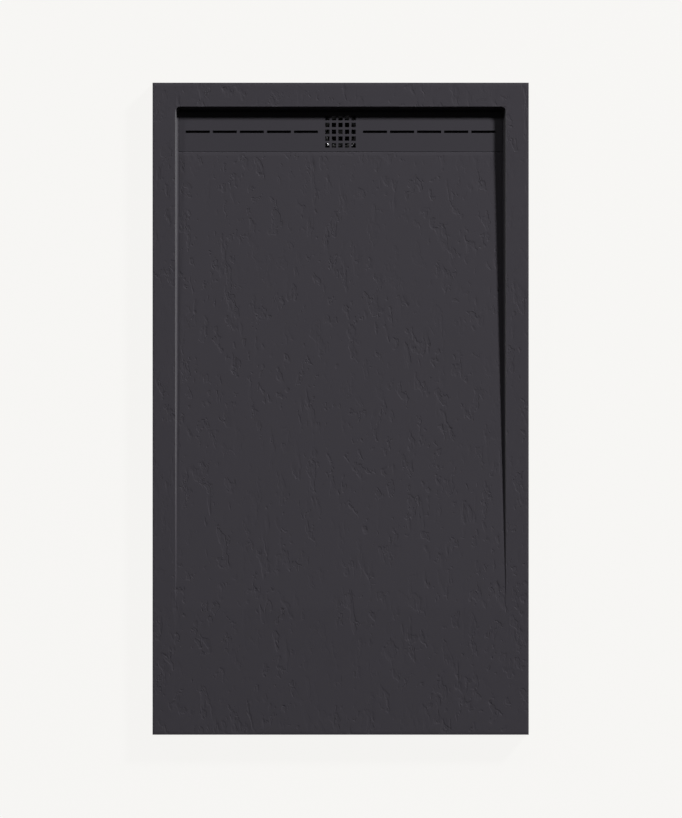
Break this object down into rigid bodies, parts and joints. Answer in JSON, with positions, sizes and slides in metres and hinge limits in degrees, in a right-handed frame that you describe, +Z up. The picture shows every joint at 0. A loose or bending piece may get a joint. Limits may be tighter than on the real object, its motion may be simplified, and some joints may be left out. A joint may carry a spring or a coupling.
{
  "type": "shower tray",
  "caption": "Long low shower tray in dark slate-textured resin, its floor falling to an end channel under a lift-off slotted cover, with a siphon trap and a swivelling outlet below.",
  "frame": {"origin": "centre of the tray's flat underside, which is bedded on the floor", "axes": "+Z up, +Y along the tray towards the drain end, +X to the right with the drain end away from the viewer"},
  "size_m": [0.75, 1.3, 0.115],
  "materials": {
    "slate_resin": "matte",
    "painted_steel": "matte",
    "bare_steel": "satin",
    "black_rubber": "matte",
    "bright_ring": "polished",
    "grey_plastic": "matte",
    "white_plastic": "satin"
  },
  "bodies": {
    "root": {"tray_body": "slate_resin", "trim_ring": "bright_ring", "clamp_ring": "grey_plastic", "slip_washer": "white_plastic", "flange_gasket": "black_rubber", "collar_gasket": "black_rubber", "trap_body": "white_plastic", "trap_base": "white_plastic", "outlet_seal": "black_rubber", "outlet_slip_ring": "grey_plastic", "outlet_nut": "white_plastic"},
    "cover": {"drain_cover": "painted_steel", "cover_rails": "bare_steel", "cover_pads": "black_rubber"},
    "strainer": {"hair_strainer": "grey_plastic", "strainer_knob": "bare_steel"},
    "siphon": {"dip_tube": "grey_plastic", "dip_tube_oring": "black_rubber", "lift_bar": "bare_steel"},
    "outlet": {"outlet_ball": "white_plastic"}
  },
  "joints": [
    {"name": "cover_lift", "type": "slide", "parent": "root", "child": "cover", "axis": [0, 0, 1], "range_m": [0, 0.24]},
    {"name": "strainer_lift", "type": "slide", "parent": "root", "child": "strainer", "axis": [0, 0, 1], "range_m": [0, 0.18]},
    {"name": "dip_tube_lift", "type": "slide", "parent": "root", "child": "siphon", "axis": [0, 0, 1], "range_m": [0, 0.12]},
    {"name": "outlet_swivel", "type": "hinge", "parent": "root", "child": "outlet", "pos_m": [0, 0.48452, -0.041], "axis": [0, 0, 1], "range_deg": [-8, 8]}
  ],
  "couplings": [
    {"joint": "strainer_lift", "follows": "cover_lift", "ratio": 0.75},
    {"joint": "dip_tube_lift", "follows": "cover_lift", "ratio": 0.5}
  ]
}
